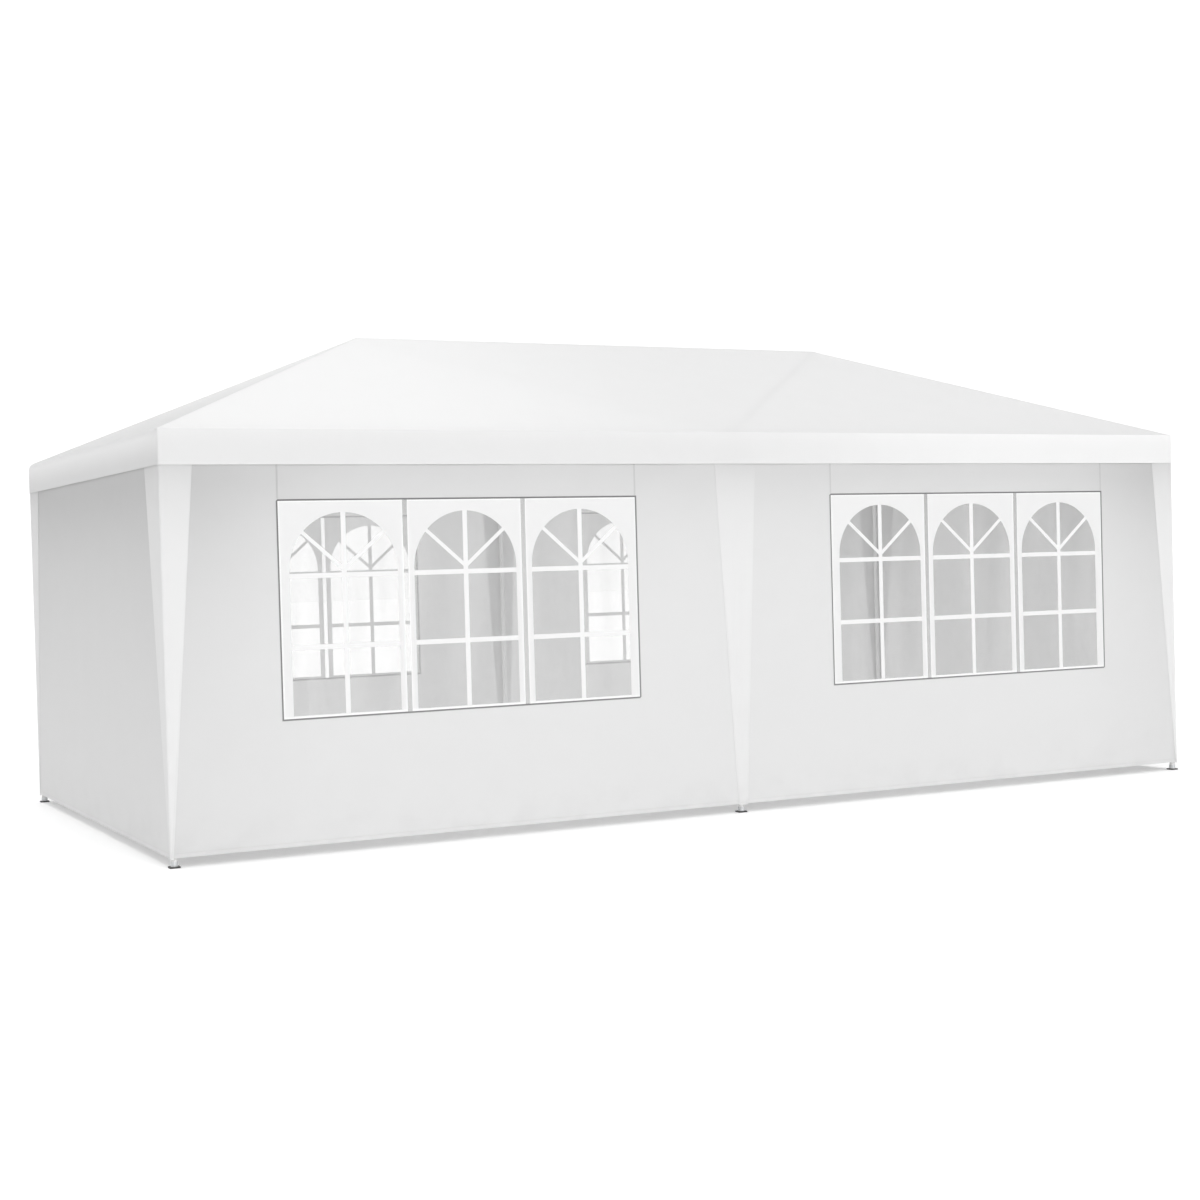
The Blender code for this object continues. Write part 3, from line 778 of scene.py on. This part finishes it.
def long_wall_patch(face, hand):
    """The sheet of one bay, without the squares that lie in its window."""
    near, far = WINDOW_MIDDLE - WINDOW_HALF, WINDOW_MIDDLE + WINDOW_HALF
    columns = [WALL_START, near - WINDOW_EDGE, near, far, far + WINDOW_EDGE, HALF_LENGTH - WALL_EDGE]
    rows = [HEM_HEIGHT, HEM_HEIGHT + WALL_HEM_STITCH, WINDOW_BOTTOM - WINDOW_EDGE, WINDOW_BOTTOM,
            WINDOW_TOP, WINDOW_TOP + WINDOW_EDGE, WALL_HEAD]
    along, height = wall_grid(columns, rows)
    along = hand * along
    out = HALF_WIDTH - WALL_INSET + billow(face, along, height)
    points = around_tent(FACES[face], along, out, height)

    beside_seam = np.abs(np.abs(along) - WINDOW_MIDDLE) - WINDOW_HALF
    to_seam = np.hypot(beside_seam, np.maximum(WINDOW_TOP + WINDOW_EDGE - height, 0.0))
    # The band of painted shadow round the opening, stored as window_edge.
    edge = np.clip(1.0 - to_window(along, height) / WINDOW_EDGE, 0.0, 1.0)
    middle_along = (along[:-1, :-1] + along[1:, 1:]) / 2
    middle_height = (height[:-1, :-1] + height[1:, 1:]) / 2
    return patch(points, on_map(face, along, height),
                 keep=to_window(middle_along, middle_height) > 0.0, to_seam=to_seam,
                 to_hem=np.abs(height - HEM_HEIGHT - WALL_HEM_STITCH), window_edge=edge,
                 seam_run=np.where(np.abs(beside_seam) < 0.02, height, along),
                 shade=under_valance_shade(face, along, height))


def end_wall_patch(face):
    """The plain sheet of an end."""
    half = HALF_WIDTH - WALL_EDGE
    along, height = wall_grid([-half, half], [HEM_HEIGHT, HEM_HEIGHT + WALL_HEM_STITCH, WALL_HEAD])
    out = HALF_LENGTH - WALL_INSET + billow(face, along, height)
    points = around_tent(FACES[face], along, out, height)
    return patch(points, on_map(face, along, height), to_seam=1.0,
                 to_hem=np.abs(height - HEM_HEIGHT - WALL_HEM_STITCH), seam_run=along,
                 window_edge=0.0, shade=under_valance_shade(face, along, height))


# %% Hang the walls
def hand_of(face, end):
    """Which way an end lies, seen from outside on this face: -1 to the left, 1 to the right."""
    return (-1 if end == "left" else 1) * (1 if face == "front" else -1)


for face in LONG_FACES:
    for end in ("left", "right"):
        wall = make_sheet(f"wall_cloth_{face}_{end}", [long_wall_patch(face, hand_of(face, end))],
                          CLOTH_THICKNESS, wall_cloth, [f"wall_{face}_{end}"])
for end in ("left", "right"):
    wall = make_sheet(f"wall_cloth_{end}_end", [end_wall_patch(end)], CLOTH_THICKNESS,
                      wall_cloth, [f"wall_{end}_end"])

# %% [markdown]
# ## Windows
#
# Behind each opening lies a clear sheet that laps over its edge, where it is welded to the
# wall. The print on it shows three arched lights. The print could be cut from one outline
# with holes, but it has to follow the waves of the wall. So it is made of patches that meet
# edge to edge: a surround between an arch and its rectangle, an upright bar, two cross bars
# and two slanted bars in the fan of each light.

# %% Sizes of the print
LIGHT_PITCH = 0.616
LIGHT_SIDE = 0.296
ARCH_RADIUS = 0.266
ARCH_HUB = 1.319
BAND = 0.012
UPRIGHT_HALF = 0.012
CROSS_HALF = 0.0115
CROSS_HEIGHTS = (0.961, 1.2925)
RAY_HALF = 0.009
RAY_ANGLE = math.radians(41.0)
PRINT_THICKNESS = 0.0003
PRINT_INSET = 0.0052
FILM_THICKNESS = 0.0004
FILM_INSET = 0.0058
PRINT_LOW = WINDOW_BOTTOM + BAND
EDGE_GAP = 0.0003
THICK_INK = 0.008
BAR_INK = 0.28
ARC_STEP = 0.09
SIDE_STEP = 0.03
UPRIGHT_ROWS = 38
BAR_COLUMNS = 11
FOOT_COLUMNS = 26
TINY = 1e-9


def block(left, right, low, high, columns, rows):
    """A plain rectangle as two arrays, the way across and the way up."""
    return np.meshgrid(np.linspace(left, right, columns), np.linspace(low, high, rows))


def surround(left_side, right_side):
    """The white between an arched opening and the rectangle round it. The inner line goes up
    one side, over the arch and down the other. The outer line is where a ray from the arch's
    hub through the inner line meets the rectangle. The ink is thick along the outer line."""
    above_hub = WINDOW_TOP - EDGE_GAP - ARCH_HUB
    corner_left = math.pi - math.atan2(above_hub, left_side)
    corner_right = math.atan2(above_hub, right_side)
    turn = stations([-math.pi, -corner_left, -corner_right, 0.0], ARC_STEP)
    side = stations([PRINT_LOW, ARCH_HUB], SIDE_STEP)[:-1]
    zeros = np.zeros_like(side)
    cosine, sine = np.cos(turn), -np.sin(turn)
    wide = np.where(cosine < 0, left_side, right_side)
    to_side = wide / np.maximum(np.abs(cosine), TINY)
    to_top = above_hub / np.maximum(sine, TINY)
    reach = np.minimum(to_side, to_top)
    inner_x = np.concatenate((zeros - ARCH_RADIUS, ARCH_RADIUS * cosine, zeros + ARCH_RADIUS))
    inner_z = np.concatenate((side, ARCH_HUB + ARCH_RADIUS * sine, side[::-1]))
    outer_x = np.concatenate((zeros - left_side, reach * cosine, zeros + right_side))
    outer_z = np.concatenate((side, ARCH_HUB + reach * sine, side[::-1]))
    beside_arch = wide - ARCH_RADIUS * np.abs(cosine)
    above_arch = above_hub - ARCH_RADIUS * sine
    width = np.concatenate((zeros + left_side - ARCH_RADIUS,
                            np.where(to_side < to_top, beside_arch, above_arch),
                            zeros + right_side - ARCH_RADIUS))
    thin = 1.0 - THICK_INK / width
    share = np.stack((0 * width, thin / 2, thin, 0 * width + 1.0))
    ink = np.array([0.0, 0.0, 0.0, 1.0])[:, None]
    return inner_x + (outer_x - inner_x) * share, inner_z + (outer_z - inner_z) * share, ink


def upright_bar():
    """The bar up the middle of a light, whose head follows the arch."""
    x = np.linspace(-UPRIGHT_HALF, UPRIGHT_HALF, 3)[None, :]
    head = ARCH_HUB + np.sqrt(ARCH_RADIUS ** 2 - x ** 2)
    z = PRINT_LOW + (head - PRINT_LOW) * np.linspace(0.0, 1.0, UPRIGHT_ROWS)[:, None]
    return np.broadcast_to(x, z.shape), z, BAR_INK


def slanted_bar(hand):
    """A bar of the fan. It starts at the upright and its head lies on the arch."""
    across_bar = np.linspace(-RAY_HALF, RAY_HALF, 3)[None, :]
    start_z = ARCH_HUB + UPRIGHT_HALF * math.tan(RAY_ANGLE) + across_bar / math.cos(RAY_ANGLE)
    head_turn = RAY_ANGLE + np.arcsin(across_bar / ARCH_RADIUS)
    share = np.linspace(0.0, 1.0, BAR_COLUMNS)[:, None]
    x = UPRIGHT_HALF + (ARCH_RADIUS * np.cos(head_turn) - UPRIGHT_HALF) * share
    z = start_z + (ARCH_HUB + ARCH_RADIUS * np.sin(head_turn) - start_z) * share
    return hand * x, z, BAR_INK


def print_shapes():
    """Every patch of one window's print: distances from the window's middle, heights, ink."""
    outer_side = WINDOW_HALF - EDGE_GAP - LIGHT_PITCH
    shapes = []
    for number in (-1, 0, 1):
        left_side = outer_side if number == -1 else LIGHT_SIDE
        right_side = outer_side if number == 1 else LIGHT_SIDE
        band = block(-left_side, right_side, WINDOW_BOTTOM + EDGE_GAP, PRINT_LOW, FOOT_COLUMNS, 2)
        light = [surround(left_side, right_side), upright_bar(), (*band, [[1.0], [0.0]])]
        for hand in (-1, 1):
            light.append(slanted_bar(hand))
            ends = sorted((hand * UPRIGHT_HALF, hand * ARCH_RADIUS))
            for height in CROSS_HEIGHTS:
                bar = block(*ends, height - CROSS_HALF, height + CROSS_HALF, BAR_COLUMNS, 3)
                light.append((*bar, BAR_INK))
        shapes += [(x + number * LIGHT_PITCH, z, ink) for x, z, ink in light]
    return shapes


# %% Shape of the clear sheet and its print
def on_wall(face, hand, x, z, inset):
    """Puts a shape of a window on the waves of its wall, at an inset from the tent's side."""
    along = hand * WINDOW_MIDDLE + x
    out = HALF_WIDTH - inset + billow(face, along, z)
    return around_tent(FACES[face], along, out, z), on_map(face, along, z)


def film_patch(face, hand):
    """The clear sheet, which laps behind the wall all round its opening."""
    edge = WINDOW_HALF + WELD_WIDTH
    x, z = wall_grid([-edge, edge], [WINDOW_BOTTOM - WELD_WIDTH, WINDOW_TOP + WELD_WIDTH])
    return patch(*on_wall(face, hand, x, z, FILM_INSET))


def print_patches(face, hand):
    """The print of one window. A patch's ink is a number per point, or one for all of it."""
    return [patch(*on_wall(face, hand, x, z, PRINT_INSET), thick_ink=ink)
            for x, z, ink in print_shapes()]


for face in LONG_FACES:
    for end in ("left", "right"):
        hand = hand_of(face, end)
        film = make_sheet(f"clear_sheet_{face}_{end}", [film_patch(face, hand)], FILM_THICKNESS,
                          clear_film, [f"window_sheet_{face}_{end}"])
        lights = make_sheet(f"arched_lights_{face}_{end}", print_patches(face, hand), PRINT_THICKNESS,
                            white_print, [f"window_print_{face}_{end}"])

# %% [markdown]
# ## Leg drapes
#
# A drape hides each leg. It is wide under the valance and tapers to a narrow tail at the
# foot. At a corner it wraps round the leg, so its grid runs from one free edge, round the
# corner, to the other free edge. The cloth is gathered a little at its head, which leaves
# soft flutes that run down with the taper.

# %% Shape of the drapes
DRAPE_FOOT = 0.04
DRAPE_HEAD = 1.90
DRAPE_CORNER_RADIUS = 0.012
CORNER_FOOT = 0.016
MIDDLE_FOOT = 0.027
LONG_SIDE_WIDTH = 0.155
END_SIDE_WIDTH = 0.25
MIDDLE_WIDTH = 0.122
FLUTE_DEPTH = 0.0048
EDGE_BEND = 0.0011
SIDE_HEM = 0.007
FOOT_HEM = 0.012
DRAPE_MARKS = (0.0, 0.02, 0.05, 0.09, 0.15, 0.85, 0.96, 1.0)
DRAPE_COLUMN = 0.07
DRAPE_ROW = 0.03


def taper(height, foot_width, valance_width):
    """The width at a height, on a straight line through the foot and the valance's foot."""
    up = height - DRAPE_FOOT
    return foot_width + (valance_width - foot_width) * up / (VALANCE_FOOT - DRAPE_FOOT)


def flutes(share, height, turn):
    """How far a drape stands out: flutes that follow the taper, and a free edge that bends in
    until it almost lies on the wall."""
    grown = smooth(VALANCE_FOOT - 0.01, VALANCE_FOOT - 0.5, height) * smooth(0.0, 0.5, height)
    wave = 0.5 - 0.5 * np.cos(share * 9.0 + 0.8 * np.sin(height * 2.2 + turn))
    return FLUTE_DEPTH * grown * wave * share * (1.0 - share) - EDGE_BEND * share ** 6


def drape_numbers(share, half, height):
    """The distance to the stitched hems, the way along them, and the painted shade: a little all over
    and most under the valance.
    """
    to_hem = np.minimum(np.abs((1.0 - share) * half - SIDE_HEM),
                        np.abs(height - DRAPE_FOOT - FOOT_HEM))
    drop = np.maximum(VALANCE_FOOT - height, 0.0)
    shade = 0.045 + 0.14 * np.exp(-drop / 0.17)
    return {"to_seam": 1.0, "to_hem": to_hem, "seam_run": height, "shade": shade}


def drape_grid():
    """Columns from 0 in the drape's middle to 1 at a free edge, and rows up the drape."""
    rows = stations([DRAPE_FOOT, DRAPE_FOOT + FOOT_HEM, DRAPE_HEAD], DRAPE_ROW)
    return np.meshgrid(stations(DRAPE_MARKS, DRAPE_COLUMN), rows)


def corner_drape_patches(side_sign, end_sign):
    """The two halves of a corner drape, which meet in the line down the corner."""
    share, height = drape_grid()
    outer_x, outer_y = HALF_LENGTH - DRAPE_INSET, HALF_WIDTH - DRAPE_INSET
    turn = 1.4 * side_sign + 0.6 * end_sign
    halves = []
    for valance_width, on_long_side in ((LONG_SIDE_WIDTH, True), (END_SIDE_WIDTH, False)):
        half = taper(height, CORNER_FOOT, valance_width)
        lift = flutes(share, height, turn + valance_width)
        if on_long_side:
            x, y = rounded(outer_x - share * half, outer_y, outer_x, outer_y, DRAPE_CORNER_RADIUS)
            y = y + lift
        else:
            y, x = rounded(outer_y - share * half, outer_x, outer_y, outer_x, DRAPE_CORNER_RADIUS)
            x = x + lift
        points = np.stack((end_sign * x, side_sign * y, height), -1)
        flat = np.stack((share * half * (1 if on_long_side else -1) + 2.0 * turn, height), -1)
        halves.append(patch(points, flat, **drape_numbers(share, half, height)))
    return halves


def middle_drape_patches(face):
    """The two halves of a middle drape."""
    share, height = drape_grid()
    half = taper(height, MIDDLE_FOOT, MIDDLE_WIDTH)
    halves = []
    for hand in (-1, 1):
        out = HALF_WIDTH - DRAPE_INSET + flutes(share, height, 0.9 * hand + FACES[face])
        points = around_tent(FACES[face], hand * share * half, out, height)
        flat = np.stack((hand * share * half + 5.0 + FACES[face], height), -1)
        halves.append(patch(points, flat, **drape_numbers(share, half, height)))
    return halves


# %% Hang the drapes
DRAPE_DROP = DRAPE_HEAD - DRAPE_FOOT


def hang_drape(place, patches, foot_width, valance_width):
    """Makes a drape. Its flat size, a trapezium, is worked out but not kept."""
    drape = make_sheet(f"drape_cloth_{place}", patches, CLOTH_THICKNESS, cover_cloth,
                       [f"leg_drape_{place}"])
    head = taper(DRAPE_HEAD, foot_width, valance_width)
    (head + foot_width) / 2 * DRAPE_DROP


for side, side_sign in (("front", -1), ("back", 1)):
    for end, end_sign in (("left", -1), ("right", 1)):
        hang_drape(f"{side}_{end}", corner_drape_patches(side_sign, end_sign), 2 * CORNER_FOOT,
                   LONG_SIDE_WIDTH + END_SIDE_WIDTH)
    hang_drape(f"{side}_middle", middle_drape_patches(side), 2 * MIDDLE_FOOT, 2 * MIDDLE_WIDTH)

# %% [markdown]
# ## Floor and light
#
# The tent stands in a white studio on a wide pale floor. A broad light from straight above
# gives the soft shadow along the hems. A broad light from the front lights the long side, a
# weaker one the left end, and one from behind shines through the cloth and the windows, so
# that the inside is bright. The white room fills in the rest. The room looks white to the
# camera but lights the tent only dimly, as a grey room would. The floor is a light table: it
# glows a little, so that only the darkest of the shadows is left on it.


# %% Floor, lights and room
FLOOR_GLOW = 0.14
FLOOR_REACH = 60.0
FLOOR_TOP = -0.0006
ROOM_SEEN = 1.14
ROOM_GIVEN = 0.59


def make_floor():
    """A wide square just under the foot plates, which belongs to the picture only."""
    mesh = bpy.data.meshes.new("floor")
    signs = ((-1, -1), (1, -1), (1, 1), (-1, 1))
    mesh.from_pydata([(x * FLOOR_REACH, y * FLOOR_REACH, FLOOR_TOP) for x, y in signs],
                     [], [(0, 1, 2, 3)])
    floor = bpy.data.objects.new("floor", mesh)
    bpy.context.scene.collection.objects.link(floor)
    finish = Finish("studio_floor")
    speckle = finish.noise(finish.place(), 40.0, 2.0, 0.5)
    colour = finish.tint(speckle, grey(0.90), grey(0.92))
    finish.surface(Base_Color=colour, Roughness=0.9, Specular_IOR_Level=0.0)
    finish.surface(Emission_Color=grey(1.0), Emission_Strength=FLOOR_GLOW)
    mesh.materials.append(finish.material)
    floor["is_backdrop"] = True


def make_sun(name, aim, strength, spread):
    """A light that shines along aim from far away. Spread is how wide it looks."""
    data = bpy.data.lights.new(name, "SUN")
    data.energy = strength
    data.angle = math.radians(spread)
    sun = bpy.data.objects.new(name, data)
    sun.rotation_mode = "QUATERNION"
    sun.rotation_quaternion = Vector(aim).to_track_quat("-Z", "Y")
    bpy.context.scene.collection.objects.link(sun)


def make_room():
    """The world: white where the camera sees it, and dimmer as a light."""
    world = bpy.data.worlds.new("white_room")
    world.use_nodes = True
    tree = world.node_tree
    shown = tree.nodes["Background"]
    shown.inputs["Strength"].default_value = ROOM_SEEN
    shown.inputs["Color"].default_value = grey(1.0)
    light = tree.nodes.new("ShaderNodeBackground")
    light.inputs["Strength"].default_value = ROOM_GIVEN
    light.inputs["Color"].default_value = grey(1.0)
    mixed = tree.nodes.new("ShaderNodeMixShader")
    rays = tree.nodes.new("ShaderNodeLightPath")
    tree.links.new(rays.outputs["Is Camera Ray"], mixed.inputs[0])
    tree.links.new(light.outputs[0], mixed.inputs[1])
    tree.links.new(shown.outputs[0], mixed.inputs[2])
    tree.links.new(mixed.outputs[0], tree.nodes["World Output"].inputs["Surface"])
    bpy.context.scene.world = world


make_floor()
make_sun("light_above", (-0.03, 0.02, -1.0), 0.64, 60.0)
make_sun("light_front", (-0.15, 0.86, -0.45), 1.22, 50.0)
make_sun("light_left", (0.77, 0.05, -0.64), 0.29, 70.0)
make_sun("light_back", (0.15, -0.80, -0.55), 0.78, 60.0)
make_room()
bpy.context.scene.view_settings.view_transform = "Standard"
print("floor, lights and a white room are in place")

# %% Compare the sizes and finish
dressed_box = [list(corner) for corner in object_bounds()]
moved = np.round(1000 * (np.array(dressed_box) - np.array(solid_box)), 1)
print("corners of the box moved by, in mm:", moved.tolist())
